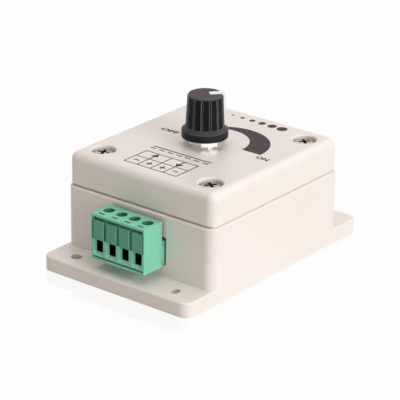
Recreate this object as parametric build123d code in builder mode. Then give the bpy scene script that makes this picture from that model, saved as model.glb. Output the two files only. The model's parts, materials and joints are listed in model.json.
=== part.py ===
from build123d import *
from math import cos, pi, radians, sin, tan
import os

os.makedirs("parts", exist_ok=True)

# Rotary dimmer in a two-piece box with mounting ears. Millimetres, +Z up.
# The origin is the middle of the underside, the terminals face -Y, and the knob turns about Z.

# Box
box_width = 58.0
box_length = 65.0
box_height = 35.6
tray_height = 24.7
wall = 2.4
floor_thickness = 2.4
lid_roof = 2.4
corner_radius = 3.4
lid_inset = 0.5
lid_foot_step = 0.4
lid_foot_height = 0.7
tray_rim_bevel = 0.5
split_gap = 0.05
lid_edge_radius = 2.6
lid_edge_share = 0.9
lip_depth = 1.6
lip_thickness = 1.0
lip_clearance = 0.15

# Mounting ears
ear_reach = 11.7
ear_thickness = 4.7
ear_edge_radius = 0.7
mount_hole_diameter = 3.6
mount_hole_from_side = 9.5
mount_hole_from_end = 5.6

# Lid screws and the posts that they bite into
lid_screw_from_side = 7.9
lid_screw_from_end = 8.7
lid_screw_diameter = 2.9
lid_screw_length = 12.0
lid_screw_head_diameter = 6.9
lid_screw_head_height = 2.0
lid_screw_head_bevel = 0.8
lid_screw_cross_length = 3.8
lid_screw_cross_width = 1.0
lid_screw_cross_depth = 1.3
lid_screw_sink = 1.2
screw_well_diameter = 7.7
screw_well_wall = 1.4
screw_well_rim = 0.35
lid_screw_play = 0.25
post_diameter = 7.4
post_rib = 1.4
thread_play = 0.05
pilot_spare = 1.5

# Circuit board on its posts
board_rise = 4.6
board_thickness = 1.6
board_front_gap = 0.6
board_rear_gap = 7.6
board_side_gap = 0.6
board_screw_from_side = 3.0
board_screw_from_rear = 4.0
board_screw_behind_pins = 4.0
board_post_diameter = 5.6
board_screw_diameter = 2.0
board_screw_length = 5.0
board_screw_head_diameter = 4.4
board_screw_head_height = 1.5
board_screw_play = 0.2

# Board header
pitch = 5.08
ways = 4
end_cheek = 0.2
header_height = 7.8
header_depth = 12.0
header_proud = 0.7
header_wall = 1.2
header_rear_wall = 2.0
header_key_width = 1.5
header_key_length = 3.0
pin_side = 1.0
pin_set_back = 1.7
pin_fit = 0.05
pin_bend_gap = 0.6
pin_below_board = 2.2
pin_hole_play = 0.25
window_side_gap = 0.8
window_top_gap = 1.2
window_bottom_gap = 0.2
window_corner = 0.5

# Terminal plug
plug_height = 15.0
plug_depth = 8.6
plug_drop = 0.5
plug_gap = 0.3
plug_fit = 0.1
tongue_end_gap = 0.8
end_plate = 0.3
plug_lip = 0.8
lip_groove = 0.5
lip_groove_depth = 0.7
plug_brow = 0.7
brow_groove = 1.1
brow_groove_depth = 1.0
panel_groove = 1.0
end_groove = 0.35
panel_groove_depth = 0.7
panel_bevel = 0.2
panel_foot_rise = 1.1
wire_entry_width = 2.7
wire_entry_wall = 1.0
wire_entry_flare = 0.6
wire_entry_sill_drop = 0.9
probe_slot_width = 2.5
probe_slot_length = 0.8
probe_slot_depth = 1.6
probe_slot_from_front = 1.6

# Wire clamp of each way
clamp_from_rear = 3.5
cage_behind_screw = 1.9
cage_side = 0.4
cage_screw_play = 0.2
cage_floor = 0.9
cage_roof = 1.1
cage_travel = 2.5
cage_fit = 0.1
wire_space = 3.2
chamber_roof = 0.7
clamp_screw_diameter = 2.9
clamp_screw_head_diameter = 3.5
clamp_screw_head_height = 1.4
clamp_head_play = 0.1
clamp_neck_play = 0.1
clamp_seat_gap = 0.05
clamp_tip_gap = 0.3
driver_slot = 0.6
driver_slot_depth = 0.7
contact_width = 2.3
contact_fit = 0.05
contact_side = 2.3
contact_step = 0.8
contact_end_gap = 0.4
bar_before_screw = 1.9
bar_thickness = 0.8
bar_gap = 0.15
bar_over_socket = 0.2
socket_play = 0.1

# Potentiometer
bushing_wall = 0.4
bushing_length = 7.0
bushing_hole_play = 0.2
shaft_diameter = 6.0
shaft_play = 0.05
shaft_length = 15.0
shaft_tail_diameter = 4.6
shaft_split = 1.0
shaft_split_depth = 7.0
pot_boss_diameter = 11.0
pot_boss_height = 0.5
pot_plate_diameter = 16.2
pot_plate_thickness = 1.0
pot_wafer_thickness = 1.2
pot_wafer_hole = 9.4
pot_wafer_tab_width = 14.0
pot_wafer_tab_reach = 10.0
pot_can_play = 0.1
pot_can_wall = 0.4
pot_can_depth = 8.6
pot_tabs = 3
pot_tab_width = 2.6
pot_tab_length = 1.6
pot_lug_pitch = 5.0
pot_lug_width = 2.4
pot_lug_thickness = 0.5
pot_lug_start = 7.0
pot_lug_end = 14.0
pot_lug_eye = 1.2
pot_rotor_diameter = 12.6
pot_rotor_thickness = 2.6
pot_rotor_gap = 1.1
pot_wiper_thickness = 0.3
pot_wiper_finger = 0.6
pot_wiper_reach = 5.6
pot_clip_thickness = 0.5
pot_clip_diameter = 8.6
pot_clip_gap = 0.1
pot_clip_groove = 0.5
pot_clip_fit = 0.05
washer_diameter = 9.2
washer_thickness = 0.5
nut_sides = 6
nut_across_flats = 9.0
nut_thickness = 2.0
nut_turn = -33.0
nut_chamfer_angle = 30.0

# Knob
knob_gap = 0.4
knob_height = 13.8
knob_skirt_diameter = 14.66
knob_skirt_height = 2.4
knob_shoulder_height = 1.1
knob_foot_diameter = 12.0
knob_top_diameter = 11.0
knob_top_bevel = 0.35
knob_ribs = 14
knob_groove = 0.55
knob_groove_depth = 0.45
knob_rib_turn = 5.0
knob_skirt_recess = 0.8
knob_skirt_wall = 1.2
knob_bush_play = 0.5
knob_bore_spare = 0.4
pointer_angle = 49.0
pointer_width = 2.0
pointer_start = 1.2
pointer_proud_top = 0.25
pointer_proud_side = 0.6
pointer_sink = 0.7
pointer_nose = 0.3

# Parts of the switching circuit, placed on the board from the middle of the pin row
mosfet_place = (-10.0, 14.1)
mosfet_width = 6.6
mosfet_length = 6.1
mosfet_height = 2.3
mosfet_bevel = 0.4
mosfet_tab_thickness = 0.5
mosfet_tab_width = 5.3
mosfet_tab_reach = 1.2
mosfet_lead_pitch = 4.57
mosfet_lead_width = 0.8
mosfet_lead_reach = 2.6
capacitor_place = (10.0, 11.1)
capacitor_diameter = 8.0
capacitor_height = 10.2
capacitor_foot_side = 8.3
capacitor_foot_height = 1.0
capacitor_foot_cut = 1.6
capacitor_vent_width = 0.3
capacitor_vent_depth = 0.2
diode_place = (-8.0, 24.6)
diode_length = 6.8
diode_width = 5.9
diode_height = 2.2
diode_bevel = 0.35
diode_tab_width = 3.0
diode_tab_reach = 0.6
diode_tab_height = 1.1
chip_place = (0.0, 8.1)
chip_length = 4.9
chip_width = 3.9
chip_height = 1.5
chip_rise = 0.15
chip_legs_a_side = 4
chip_leg_pitch = 1.27
chip_leg_width = 0.42
chip_leg_thickness = 0.2
chip_leg_reach = 1.05
chip_leg_knee = 0.35
resistor_size = (3.2, 1.6, 0.6)
resistor_places = [(6.0, 25.1), (-1.5, 16.1), (2.5, 16.1)]
ceramic_size = (2.0, 1.25, 1.1)
ceramic_places = [(9.0, 20.1), (1.0, 22.1)]
wire_diameter = 1.2
wire_pad_pitch = 3.5
wire_pad_y = 16.0
wire_bend_share = 0.45

# Levels and places worked out from those sizes
overall_length = box_length + 2 * ear_reach
front_y = -box_length / 2
inner_front_y = front_y + wall
inner_width = box_width - 2 * wall
inner_length = box_length - 2 * wall
lid_width = box_width - 2 * lid_inset
lid_length = box_length - 2 * lid_inset
lid_corner = corner_radius - lid_inset
lid_crown = min(lid_edge_radius, lid_edge_share * lid_corner)
lid_bottom = tray_height + split_gap
lid_ceiling = box_height - lid_roof
mount_x = box_width / 2 - mount_hole_from_side
mount_y = overall_length / 2 - mount_hole_from_end
lid_screw_x = box_width / 2 - lid_screw_from_side
lid_screw_y = box_length / 2 - lid_screw_from_end
lid_screw_places = [(sx * lid_screw_x, sy * lid_screw_y) for sx in (-1, 1) for sy in (-1, 1)]
lid_screw_seat = box_height - lid_screw_sink - lid_screw_head_height

board_bottom = floor_thickness + board_rise
board_top = board_bottom + board_thickness
board_width = 2 * (lid_screw_x - post_diameter / 2 - board_side_gap)
board_length = inner_length - board_front_gap - board_rear_gap
board_front = inner_front_y + board_front_gap

way_x = [(i - (ways - 1) / 2) * pitch for i in range(ways)]
between_ways_x = [x + pitch / 2 for x in way_x[:-1]]
terminal_width = ways * pitch + 2 * end_cheek
header_front = front_y - header_proud
header_rear = header_front + header_depth
header_bottom = board_top
header_top = header_bottom + header_height
pin_z = header_bottom + header_height / 2
pin_tip = header_front + pin_set_back
pin_drop_y = header_rear + pin_bend_gap + pin_side / 2
circuit_plane = Plane((0, pin_drop_y, board_top))
board_screw_x = board_width / 2 - board_screw_from_side
board_rear = board_front + board_length
board_screw_rows = [pin_drop_y + board_screw_behind_pins, board_rear - board_screw_from_rear]
board_screw_places = [(sx * board_screw_x, y) for sx in (-1, 1) for y in board_screw_rows]

plug_rear = header_front - plug_gap
plug_front = plug_rear - plug_depth
plug_bottom = header_bottom - plug_drop
plug_top = plug_bottom + plug_height
tongue_bottom = header_bottom + header_wall + plug_fit
tongue_top = header_top - header_wall - plug_fit
tongue_end = header_rear - header_rear_wall - tongue_end_gap
lip_groove_bottom = plug_bottom + plug_lip
brow_groove_top = plug_top - plug_brow
brow_groove_bottom = brow_groove_top - brow_groove

clamp_y = plug_rear - clamp_from_rear
cage_inner_width = clamp_screw_diameter + 2 * cage_screw_play
cage_width = cage_inner_width + 2 * cage_side
socket_bottom = pin_z - contact_side / 2
socket_top = pin_z + contact_side / 2
bar_bottom = socket_top + bar_over_socket
bar_top = bar_bottom + bar_thickness
cage_inner_bottom = bar_bottom - wire_space
cage_bottom = cage_inner_bottom - cage_floor
cage_inner_top = bar_top + bar_gap
cage_top = cage_inner_top + cage_roof
chamber_bottom = cage_bottom - cage_fit
chamber_top = cage_top + cage_travel + cage_fit
chamber_front = plug_front + wire_entry_wall
chamber_rear = clamp_y + cage_behind_screw + cage_fit
chamber_depth = chamber_rear - chamber_front
chamber_middle = (chamber_front + chamber_rear) / 2
clamp_seat = chamber_top + chamber_roof
panel_foot = bar_bottom + panel_foot_rise
mouth_bottom = cage_inner_bottom - wire_entry_sill_drop
bar_front = clamp_y - bar_before_screw
step_front = plug_rear + contact_fit
step_rear = step_front + contact_step
socket_end = tongue_end - contact_end_gap

bushing_diameter = shaft_diameter + 2 * (shaft_play + bushing_wall)
bushing_top = lid_ceiling + bushing_length
shaft_top = lid_ceiling + shaft_length
plate_top = lid_ceiling - pot_boss_height
plate_bottom = plate_top - pot_plate_thickness
wafer_bottom = plate_bottom - pot_wafer_thickness
lug_bottom = wafer_bottom - pot_lug_thickness
can_bottom = plate_top - pot_can_depth
can_inner_radius = pot_plate_diameter / 2 + pot_can_play
can_outer_radius = can_inner_radius + pot_can_wall
clip_top = plate_bottom - pot_clip_gap
clip_bottom = clip_top - pot_clip_thickness
rotor_top = wafer_bottom - pot_rotor_gap
rotor_bottom = rotor_top - pot_rotor_thickness
washer_top = box_height + washer_thickness
nut_top = washer_top + nut_thickness
knob_bottom = nut_top + knob_gap
knob_top = knob_bottom + knob_height
knob_shoulder = knob_bottom + knob_skirt_height
knob_foot = knob_shoulder + knob_shoulder_height


# Base tray: ears and walls in one moulding, with posts for the lid screws and the board
with BuildPart() as base_tray:
    with BuildSketch():
        RectangleRounded(box_width, overall_length, corner_radius)
    extrude(amount=ear_thickness)
    fillet(base_tray.faces().sort_by(Axis.Z)[-1].edges(), ear_edge_radius)
    with BuildSketch():
        RectangleRounded(box_width, box_length, corner_radius)
    extrude(amount=tray_height)
    chamfer(base_tray.faces().sort_by(Axis.Z)[-1].edges(), tray_rim_bevel)
    with BuildSketch(Plane.XY.offset(floor_thickness)):
        RectangleRounded(inner_width, inner_length, corner_radius - wall)
    extrude(amount=tray_height, mode=Mode.SUBTRACT)
    with BuildSketch(Plane.XY.offset(tray_height - lip_depth)):
        RectangleRounded(inner_width + wall, inner_length + wall, corner_radius - wall / 2)
    extrude(amount=lip_depth, mode=Mode.SUBTRACT)
    with BuildSketch(Plane.XY.offset(floor_thickness)):
        for x, y in lid_screw_places:
            side = 1 if x > 0 else -1
            end = 1 if y > 0 else -1
            with Locations((x + side * lid_screw_from_side / 2 - side * wall / 4, y)):
                Rectangle(lid_screw_from_side - wall / 2, post_rib)
            with Locations((x, y + end * lid_screw_from_end / 2 - end * wall / 4)):
                Rectangle(post_rib, lid_screw_from_end - wall / 2)
    extrude(amount=tray_height - lip_depth - floor_thickness)
    with BuildSketch(Plane.XY.offset(floor_thickness)):
        with Locations(*lid_screw_places):
            Circle(post_diameter / 2)
    extrude(amount=tray_height - floor_thickness)
    with BuildSketch(Plane.XY.offset(tray_height)):
        with Locations(*lid_screw_places):
            Circle(lid_screw_diameter / 2 + thread_play)
    extrude(
        amount=lid_screw_seat - lid_screw_length - pilot_spare - tray_height,
        mode=Mode.SUBTRACT,
    )
    with BuildSketch(Plane.XY.offset(floor_thickness)):
        with Locations(*board_screw_places):
            Circle(board_post_diameter / 2)
    extrude(amount=board_rise)
    with BuildSketch(Plane.XY.offset(board_bottom)):
        with Locations(*board_screw_places):
            Circle(board_screw_diameter / 2 + thread_play)
    extrude(amount=board_thickness - board_screw_length, mode=Mode.SUBTRACT)
    window_bottom = header_bottom - window_bottom_gap
    window_top = header_top + window_top_gap
    with BuildSketch(Plane.XZ.offset(-inner_front_y)):
        with Locations((0, (window_bottom + window_top) / 2)):
            RectangleRounded(
                terminal_width + 2 * window_side_gap,
                window_top - window_bottom,
                window_corner,
            )
    extrude(amount=wall, mode=Mode.SUBTRACT)
    with BuildSketch():
        with GridLocations(2 * mount_x, 2 * mount_y, 2, 2):
            Circle(mount_hole_diameter / 2)
    extrude(amount=ear_thickness, mode=Mode.SUBTRACT)
base_tray.part.label = "base_tray"
export_step(base_tray.part, "parts/base_tray.step")


# Lid: crowned edges, a shadow line at its foot, a lip inside the tray, and a well over each screw
with BuildPart() as lid:
    with BuildSketch(Plane.XY.offset(lid_bottom)):
        RectangleRounded(lid_width, lid_length, lid_corner)
    extrude(amount=box_height - lid_bottom)
    fillet(lid.faces().sort_by(Axis.Z)[-1].edges(), lid_crown)
    with BuildSketch(Plane.XY.offset(lid_bottom)):
        RectangleRounded(lid_width, lid_length, lid_corner)
        RectangleRounded(
            lid_width - 2 * lid_foot_step,
            lid_length - 2 * lid_foot_step,
            lid_corner - lid_foot_step,
            mode=Mode.SUBTRACT,
        )
    extrude(amount=lid_foot_height, mode=Mode.SUBTRACT)
    with BuildSketch(Plane.XY.offset(lid_bottom)):
        RectangleRounded(lid_width - 2 * wall, lid_length - 2 * wall, corner_radius - wall)
    extrude(amount=lid_ceiling - lid_bottom, mode=Mode.SUBTRACT)
    lip_width = inner_width + wall - 2 * lip_clearance
    lip_length = inner_length + wall - 2 * lip_clearance
    lip_corner = corner_radius - wall / 2 - lip_clearance
    with BuildSketch(Plane.XY.offset(lid_bottom)):
        RectangleRounded(lip_width, lip_length, lip_corner)
        RectangleRounded(
            lip_width - 2 * lip_thickness,
            lip_length - 2 * lip_thickness,
            lip_corner - lip_thickness,
            mode=Mode.SUBTRACT,
        )
    extrude(amount=-(lip_depth + split_gap - lip_clearance))
    with BuildSketch(Plane.XY.offset(tray_height)):
        with Locations(*lid_screw_places):
            Circle(screw_well_diameter / 2 + screw_well_wall)
    extrude(amount=lid_ceiling - tray_height)
    with Locations(*[(x, y, box_height) for x, y in lid_screw_places]):
        CounterBoreHole(
            radius=lid_screw_diameter / 2 + lid_screw_play,
            counter_bore_radius=screw_well_diameter / 2,
            counter_bore_depth=lid_screw_sink + lid_screw_head_height,
        )
    with Locations((0, 0, box_height)):
        Hole(radius=bushing_diameter / 2 + bushing_hole_play)
    top_rings = lid.edges().filter_by(GeomType.CIRCLE).filter_by_position(Axis.Z, box_height, box_height)
    well_rims = [e for e in top_rings if abs(e.radius - screw_well_diameter / 2) < lid_screw_play]
    chamfer(well_rims, screw_well_rim)
lid.part.label = "lid"
export_step(lid.part, "parts/lid.step")


# Lid screws: pan heads with a cross recess, sunk in the wells
with BuildPart() as lid_screws:
    with BuildSketch(Plane.XY.offset(lid_screw_seat)):
        with Locations(*lid_screw_places):
            Circle(lid_screw_head_diameter / 2)
    extrude(amount=lid_screw_head_height)
    chamfer(lid_screws.faces().group_by(Axis.Z)[-1].edges(), lid_screw_head_bevel)
    with BuildSketch(Plane.XY.offset(lid_screw_seat + lid_screw_head_height)):
        with Locations(*lid_screw_places):
            Rectangle(lid_screw_cross_length, lid_screw_cross_width)
            Rectangle(lid_screw_cross_width, lid_screw_cross_length)
    extrude(amount=-lid_screw_cross_depth, mode=Mode.SUBTRACT)
    with BuildSketch(Plane.XY.offset(lid_screw_seat)):
        with Locations(*lid_screw_places):
            Circle(lid_screw_diameter / 2)
    extrude(amount=-lid_screw_length)
lid_screws.part.label = "lid_screws"
export_step(lid_screws.part, "parts/lid_screws.step")


# Circuit board with holes for its screws and the header pins
with BuildPart() as circuit_board:
    with BuildSketch(Plane.XY.offset(board_bottom)):
        with Locations((0, board_front + board_length / 2)):
            Rectangle(board_width, board_length)
        with Locations(*board_screw_places):
            Circle(board_screw_diameter / 2 + board_screw_play, mode=Mode.SUBTRACT)
        with Locations(*[(x, pin_drop_y) for x in way_x]):
            Rectangle(pin_side + 2 * pin_hole_play, pin_side + 2 * pin_hole_play, mode=Mode.SUBTRACT)
    extrude(amount=board_thickness)
circuit_board.part.label = "circuit_board"
export_step(circuit_board.part, "parts/circuit_board.step")


# Board screws
with BuildPart() as board_screws:
    with BuildSketch(Plane.XY.offset(board_top)):
        with Locations(*board_screw_places):
            Circle(board_screw_head_diameter / 2)
    extrude(amount=board_screw_head_height)
    with BuildSketch(Plane.XY.offset(board_top + board_screw_head_height)):
        with Locations(*board_screw_places):
            Rectangle(board_screw_head_diameter, driver_slot)
    extrude(amount=-driver_slot_depth, mode=Mode.SUBTRACT)
    with BuildSketch(Plane.XY.offset(board_top)):
        with Locations(*board_screw_places):
            Circle(board_screw_diameter / 2)
    extrude(amount=-board_screw_length)
board_screws.part.label = "board_screws"
export_step(board_screws.part, "parts/board_screws.step")


# Header shell: open at both ends, with keyways in its upper wall
with BuildPart() as header_shell:
    with BuildSketch(Plane.YZ):
        with BuildLine():
            Polyline(
                (header_front, header_bottom),
                (header_rear, header_bottom),
                (header_rear, header_top),
                (header_front, header_top),
                (header_front, header_top - header_wall),
                (header_rear - header_rear_wall, header_top - header_wall),
                (header_rear - header_rear_wall, header_bottom + header_wall),
                (header_front, header_bottom + header_wall),
                close=True,
            )
        make_face()
    extrude(amount=terminal_width / 2, both=True)
    with BuildSketch(Plane.XZ.offset(-header_rear)):
        with Locations(*[(x, pin_z) for x in way_x]):
            Rectangle(pin_side + 2 * pin_fit, pin_side + 2 * pin_fit)
    extrude(amount=header_rear_wall, mode=Mode.SUBTRACT)
    with BuildSketch(Plane.XY.offset(header_top)):
        with Locations(*[(x, header_front + header_key_length / 2) for x in way_x]):
            Rectangle(header_key_width, header_key_length)
    extrude(amount=-header_wall, mode=Mode.SUBTRACT)
header_shell.part.label = "header_shell"
export_step(header_shell.part, "parts/header_shell.step")


# Header pins: square wire, straight through the shell's rear wall and bent down through the board
for number, x in enumerate(way_x, start=1):
    half_pin = pin_side / 2
    with BuildPart() as header_pin:
        with BuildSketch(Plane.YZ.offset(x)):
            with BuildLine():
                Polyline(
                    (pin_tip, pin_z - half_pin),
                    (pin_drop_y - half_pin, pin_z - half_pin),
                    (pin_drop_y - half_pin, board_bottom - pin_below_board),
                    (pin_drop_y + half_pin, board_bottom - pin_below_board),
                    (pin_drop_y + half_pin, pin_z + half_pin),
                    (pin_tip, pin_z + half_pin),
                    close=True,
                )
            make_face()
        extrude(amount=half_pin, both=True)
        tip_edges = header_pin.faces().sort_by(Axis.Y)[0].edges()
        chamfer(tip_edges, pin_side / 4)
    header_pin.part.label = f"header_pin_{number}"
    export_step(header_pin.part, f"parts/header_pin_{number}.step")


# Plug housing: one moulding with a clamp chamber, a screw bore and a contact pocket for each way
with BuildPart() as plug_housing:
    with BuildSketch(Plane.YZ):
        with BuildLine():
            Polyline(
                (plug_front, plug_bottom),
                (plug_rear, plug_bottom),
                (plug_rear, tongue_bottom),
                (tongue_end, tongue_bottom),
                (tongue_end, tongue_top),
                (plug_rear, tongue_top),
                (plug_rear, plug_top),
                (plug_front, plug_top),
                close=True,
            )
        make_face()
    extrude(amount=terminal_width / 2, both=True)
    front_plane = Plane.XZ.offset(-plug_front)
    groove_span = terminal_width - 2 * end_plate
    with BuildSketch(front_plane):
        with Locations((0, (brow_groove_top + brow_groove_bottom) / 2)):
            Rectangle(groove_span, brow_groove)
    extrude(amount=-brow_groove_depth, mode=Mode.SUBTRACT)
    with BuildSketch(front_plane):
        with Locations((0, lip_groove_bottom + lip_groove / 2)):
            Rectangle(groove_span, lip_groove)
    extrude(amount=-lip_groove_depth, mode=Mode.SUBTRACT)
    panel_height = brow_groove_bottom - panel_foot
    panel_middle = (brow_groove_bottom + panel_foot) / 2
    end_groove_x = (groove_span - end_groove) / 2
    with BuildSketch(front_plane):
        with Locations(*[(x, panel_middle) for x in between_ways_x]):
            Rectangle(panel_groove, panel_height)
        with Locations((-end_groove_x, panel_middle), (end_groove_x, panel_middle)):
            Rectangle(end_groove, panel_height)
    extrude(amount=-panel_groove_depth, mode=Mode.SUBTRACT)
    front_edges = plug_housing.edges().filter_by_position(Axis.Y, plug_front, plug_front)
    upright_edges = front_edges.filter_by(Axis.Z).filter_by_position(Axis.Z, panel_foot, brow_groove_bottom)
    chamfer(upright_edges.filter_by_position(Axis.X, -end_groove_x, end_groove_x), panel_bevel)
    for x in way_x:
        with BuildSketch(front_plane):
            with Locations((x, (mouth_bottom + panel_foot) / 2)):
                Rectangle(wire_entry_width + 2 * wire_entry_flare, panel_foot - mouth_bottom)
        with BuildSketch(Plane.XZ.offset(-chamber_front)):
            with Locations((x, (cage_inner_bottom + panel_foot) / 2)):
                Rectangle(wire_entry_width, panel_foot - cage_inner_bottom)
        loft(ruled=True, mode=Mode.SUBTRACT)
        with BuildSketch(Plane.YZ.offset(x)):
            with BuildLine():
                Polyline(
                    (chamber_rear - cage_fit, bar_bottom - contact_fit),
                    (step_front - contact_fit, bar_bottom - contact_fit),
                    (step_front - contact_fit, socket_bottom - contact_fit),
                    (tongue_end, socket_bottom - contact_fit),
                    (tongue_end, socket_top + contact_fit),
                    (step_rear + contact_fit, socket_top + contact_fit),
                    (step_rear + contact_fit, bar_top + contact_fit),
                    (chamber_rear - cage_fit, bar_top + contact_fit),
                    close=True,
                )
            make_face()
        extrude(amount=contact_width / 2 + contact_fit, both=True, mode=Mode.SUBTRACT)
    clamp_places = [(x, clamp_y) for x in way_x]
    with BuildSketch(Plane.XY.offset(chamber_bottom)):
        with Locations(*[(x, chamber_middle) for x in way_x]):
            Rectangle(cage_width + 2 * cage_fit, chamber_depth)
    extrude(amount=chamber_top - chamber_bottom, mode=Mode.SUBTRACT)
    with BuildSketch(Plane.XY.offset(chamber_top)):
        with Locations(*clamp_places):
            Circle(clamp_screw_diameter / 2 + clamp_neck_play)
    extrude(amount=chamber_roof, mode=Mode.SUBTRACT)
    with BuildSketch(Plane.XY.offset(clamp_seat)):
        with Locations(*clamp_places):
            Circle(clamp_screw_head_diameter / 2 + clamp_head_play)
    extrude(amount=plug_top - clamp_seat, mode=Mode.SUBTRACT)
    with BuildSketch(Plane.XY.offset(plug_top)):
        with Locations(*[(x, plug_front + probe_slot_from_front) for x in way_x]):
            Rectangle(probe_slot_width, probe_slot_length)
    extrude(amount=-probe_slot_depth, mode=Mode.SUBTRACT)
plug_housing.part.label = "plug_housing"
export_step(plug_housing.part, "parts/plug_housing.step")


# Plug contacts: a current bar inside each cage, stepped down to a socket for the header pin
for number, x in enumerate(way_x, start=1):
    with BuildPart() as plug_contact:
        with BuildSketch(Plane.YZ.offset(x)):
            with BuildLine():
                Polyline(
                    (bar_front, bar_bottom),
                    (step_front, bar_bottom),
                    (step_front, socket_bottom),
                    (socket_end, socket_bottom),
                    (socket_end, socket_top),
                    (step_rear, socket_top),
                    (step_rear, bar_top),
                    (bar_front, bar_top),
                    close=True,
                )
            make_face()
        extrude(amount=contact_width / 2, both=True)
        with BuildSketch(Plane.XZ.offset(-socket_end)):
            with Locations((x, pin_z)):
                Rectangle(pin_side + 2 * socket_play, pin_side + 2 * socket_play)
        extrude(amount=socket_end - step_rear, mode=Mode.SUBTRACT)
    plug_contact.part.label = f"plug_contact_{number}"
    export_step(plug_contact.part, f"parts/plug_contact_{number}.step")


# Clamp screws: held in the housing's roof, free to turn, threaded into the cages below
for number, x in enumerate(way_x, start=1):
    head_bottom = clamp_seat + clamp_seat_gap
    with BuildPart() as clamp_screw:
        with BuildSketch(Plane.XY.offset(head_bottom)):
            with Locations((x, clamp_y)):
                Circle(clamp_screw_head_diameter / 2)
        extrude(amount=clamp_screw_head_height)
        with BuildSketch(Plane.XY.offset(bar_top + clamp_tip_gap)):
            with Locations((x, clamp_y)):
                Circle(clamp_screw_diameter / 2)
        extrude(amount=head_bottom - bar_top - clamp_tip_gap)
        with BuildSketch(Plane.XY.offset(head_bottom + clamp_screw_head_height)):
            with Locations((x, clamp_y)):
                Rectangle(clamp_screw_head_diameter, driver_slot)
        extrude(amount=-driver_slot_depth, mode=Mode.SUBTRACT)
    clamp_screw.part.label = f"clamp_screw_{number}"
    export_step(clamp_screw.part, f"parts/clamp_screw_{number}.step")


# Clamp cages: open frames round the wire and the current bar, at the bottom of their travel
for number, x in enumerate(way_x, start=1):
    with BuildPart() as clamp_cage:
        with BuildSketch(Plane.XZ.offset(-(chamber_rear - cage_fit))):
            with Locations((x, (cage_bottom + cage_top) / 2)):
                Rectangle(cage_width, cage_top - cage_bottom)
            with Locations((x, (cage_inner_bottom + cage_inner_top) / 2)):
                Rectangle(cage_inner_width, cage_inner_top - cage_inner_bottom, mode=Mode.SUBTRACT)
        extrude(amount=chamber_depth - 2 * cage_fit)
        with BuildSketch(Plane.XY.offset(cage_top)):
            with Locations((x, clamp_y)):
                Circle(clamp_screw_diameter / 2 + thread_play)
        extrude(amount=-cage_roof, mode=Mode.SUBTRACT)
    clamp_cage.part.label = f"clamp_cage_{number}"
    export_step(clamp_cage.part, f"parts/clamp_cage_{number}.step")


# Potentiometer bushing: plate, mounting boss and threaded barrel in one casting
with BuildPart() as pot_bushing:
    with BuildSketch(Plane.XY.offset(plate_bottom)):
        Circle(pot_plate_diameter / 2)
    extrude(amount=pot_plate_thickness)
    with BuildSketch(Plane.XY.offset(plate_top)):
        Circle(pot_boss_diameter / 2)
    extrude(amount=pot_boss_height)
    with BuildSketch(Plane.XY.offset(lid_ceiling)):
        Circle(bushing_diameter / 2)
    extrude(amount=bushing_length)
    with Locations((0, 0, bushing_top)):
        Hole(radius=shaft_diameter / 2 + shaft_play)
pot_bushing.part.label = "pot_bushing"
export_step(pot_bushing.part, "parts/pot_bushing.step")


# Potentiometer shaft: split end, a groove for the clip, and a tail in the rotor
with BuildPart() as pot_shaft:
    with BuildSketch(Plane.XY.offset(clip_bottom - pot_clip_gap)):
        Circle(shaft_diameter / 2)
    extrude(amount=shaft_top - clip_bottom + pot_clip_gap)
    with BuildSketch(Plane.XY.offset(rotor_bottom)):
        Circle(shaft_tail_diameter / 2)
    extrude(amount=clip_bottom - pot_clip_gap - rotor_bottom)
    with BuildSketch(Plane.XY.offset(clip_bottom - pot_clip_fit)):
        Circle(shaft_diameter / 2)
        Circle(shaft_diameter / 2 - pot_clip_groove, mode=Mode.SUBTRACT)
    extrude(amount=pot_clip_thickness + 2 * pot_clip_fit, mode=Mode.SUBTRACT)
    with BuildSketch(Plane.XY.offset(shaft_top)):
        Rectangle(shaft_diameter, shaft_split)
    extrude(amount=-shaft_split_depth, mode=Mode.SUBTRACT)
pot_shaft.part.label = "pot_shaft"
export_step(pot_shaft.part, "parts/pot_shaft.step")


# Clip: a C-ring in the shaft's groove, under the plate
with BuildPart() as pot_clip:
    with BuildSketch(Plane.XY.offset(clip_bottom)):
        Circle(pot_clip_diameter / 2)
        Circle(shaft_diameter / 2 - pot_clip_groove + pot_clip_fit, mode=Mode.SUBTRACT)
        with Locations((0, pot_clip_diameter / 2)):
            Rectangle(shaft_diameter / 2, pot_clip_diameter, mode=Mode.SUBTRACT)
    extrude(amount=pot_clip_thickness)
pot_clip.part.label = "pot_clip"
export_step(pot_clip.part, "parts/pot_clip.step")


# Wafer that carries the track, with a tab for the lugs
with BuildPart() as pot_wafer:
    with BuildSketch(Plane.XY.offset(wafer_bottom)):
        Circle(pot_plate_diameter / 2)
        with Locations((0, pot_wafer_tab_reach / 2)):
            Rectangle(pot_wafer_tab_width, pot_wafer_tab_reach)
        Circle(pot_wafer_hole / 2, mode=Mode.SUBTRACT)
    extrude(amount=pot_wafer_thickness)
pot_wafer.part.label = "pot_wafer"
export_step(pot_wafer.part, "parts/pot_wafer.step")


# Lugs: flat tongues under the wafer's tab, with an eye for the wire
lug_x = [i * pot_lug_pitch for i in (-1, 0, 1)]
lug_eye_y = pot_lug_end - pot_lug_width / 2
for number, x in enumerate(lug_x, start=1):
    with BuildPart() as pot_lug:
        with BuildSketch(Plane.XY.offset(lug_bottom)):
            with Locations((x, (pot_lug_start + lug_eye_y) / 2)):
                Rectangle(pot_lug_width, lug_eye_y - pot_lug_start)
            with Locations((x, lug_eye_y)):
                Circle(pot_lug_width / 2)
                Circle(pot_lug_eye / 2, mode=Mode.SUBTRACT)
        extrude(amount=pot_lug_thickness)
    pot_lug.part.label = f"pot_lug_{number}"
    export_step(pot_lug.part, f"parts/pot_lug_{number}.step")


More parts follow.
